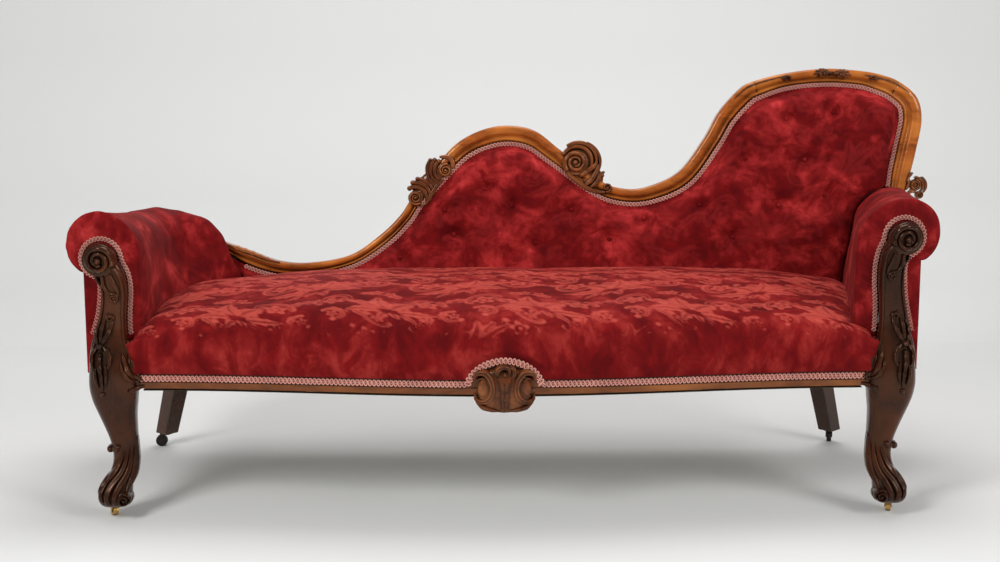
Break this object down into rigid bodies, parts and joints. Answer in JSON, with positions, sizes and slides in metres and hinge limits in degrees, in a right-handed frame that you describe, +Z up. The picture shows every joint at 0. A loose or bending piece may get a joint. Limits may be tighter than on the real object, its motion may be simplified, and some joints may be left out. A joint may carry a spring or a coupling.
{
  "type": "fainting couch",
  "caption": "Victorian show-wood fainting couch with a scrolled humpback rail, one high head end, rolled arms, sprung seat and cabriole legs on casters.",
  "frame": {"origin": "on the floor, under the middle of the couch's box", "axes": "+X towards the raised head end along the couch's length, +Y towards the back, +Z up"},
  "size_m": [1.9463, 0.7274, 0.9293],
  "materials": {
    "show_wood": "French polished",
    "frame_wood": "stained beech",
    "velvet": "deep crimson velvet",
    "damask": "cut velvet damask",
    "gimp": "scalloped braid",
    "webbing": "woven jute",
    "hessian": "coarse weave",
    "bottoming": "plain cloth",
    "spring_steel": "plain wire",
    "brass": "worn",
    "dark_iron": "dark"
  },
  "bodies": {
    "couch": {"arch_rail": "show_wood", "arm_cover_left": "velvet", "arm_cover_right": "velvet", "arm_gimp_left": "gimp", "arm_gimp_right": "gimp", "arm_rail_left": "frame_wood", "arm_rail_right": "frame_wood", "arm_stump_left": "frame_wood", "back_buttons": "velvet", "back_cover": "velvet", "back_gimp": "gimp", "back_leg_left": "frame_wood", "back_leg_right": "frame_wood", "back_rail": "frame_wood", "back_uprights": "frame_wood", "back_webbing": "webbing", "bottoming_cloth": "bottoming", "caster_socket_back_left": "dark_iron", "caster_socket_back_right": "dark_iron", "caster_socket_front_left": "brass", "caster_socket_front_right": "brass", "centre_scroll": "show_wood", "corner_blocks": "frame_wood", "crest_carving": "show_wood", "crest_rail": "show_wood", "end_rail_left": "frame_wood", "end_rail_right": "frame_wood", "end_scroll": "show_wood", "foot_rail": "show_wood", "front_leg_left": "show_wood", "front_leg_right": "show_wood", "front_rail": "show_wood", "head_post": "show_wood", "head_sweep_rail": "show_wood", "outside_arm_left": "velvet", "outside_arm_right": "velvet", "outside_back": "velvet", "rail_cartouche": "show_wood", "scroll_pair": "show_wood", "seat_cover": "damask", "seat_gimp": "gimp", "seat_hessian": "hessian", "seat_springs": "spring_steel", "seat_webbing": "webbing"},
    "horn_front_left": {"caster_horn_front_left": "brass", "caster_axle_front_left": "brass"},
    "wheel_front_left": {"caster_wheel_front_left": "brass"},
    "horn_front_right": {"caster_horn_front_right": "brass", "caster_axle_front_right": "brass"},
    "wheel_front_right": {"caster_wheel_front_right": "brass"},
    "horn_back_left": {"caster_horn_back_left": "dark_iron", "caster_axle_back_left": "dark_iron"},
    "wheel_back_left": {"caster_wheel_back_left": "dark_iron"},
    "horn_back_right": {"caster_horn_back_right": "dark_iron", "caster_axle_back_right": "dark_iron"},
    "wheel_back_right": {"caster_wheel_back_right": "dark_iron"}
  },
  "joints": [
    {"name": "swivel_front_left", "type": "hinge", "parent": "couch", "child": "horn_front_left", "pos_m": [-0.883, -0.262, 0.03], "axis": [0, 0, 1], "continuous": true},
    {"name": "roll_front_left", "type": "hinge", "parent": "horn_front_left", "child": "wheel_front_left", "pos_m": [-0.8895, -0.25074, 0.0115], "axis": [0.866, 0.5, 0], "continuous": true},
    {"name": "swivel_front_right", "type": "hinge", "parent": "couch", "child": "horn_front_right", "pos_m": [0.789, -0.262, 0.03], "axis": [0, 0, 1], "continuous": true},
    {"name": "roll_front_right", "type": "hinge", "parent": "horn_front_right", "child": "wheel_front_right", "pos_m": [0.79236, -0.24944, 0.0115], "axis": [0.9659, -0.2588, 0], "continuous": true},
    {"name": "swivel_back_left", "type": "hinge", "parent": "couch", "child": "horn_back_left", "pos_m": [-0.863, 0.293, 0.03], "axis": [0, 0, 1], "continuous": true},
    {"name": "roll_back_left", "type": "hinge", "parent": "horn_back_left", "child": "wheel_back_left", "pos_m": [-0.876, 0.293, 0.014], "axis": [0, 1, 0], "continuous": true},
    {"name": "swivel_back_right", "type": "hinge", "parent": "couch", "child": "horn_back_right", "pos_m": [0.769, 0.293, 0.03], "axis": [0, 0, 1], "continuous": true},
    {"name": "roll_back_right", "type": "hinge", "parent": "horn_back_right", "child": "wheel_back_right", "pos_m": [0.77126, 0.3058, 0.014], "axis": [0.9848, -0.1736, 0], "continuous": true}
  ]
}
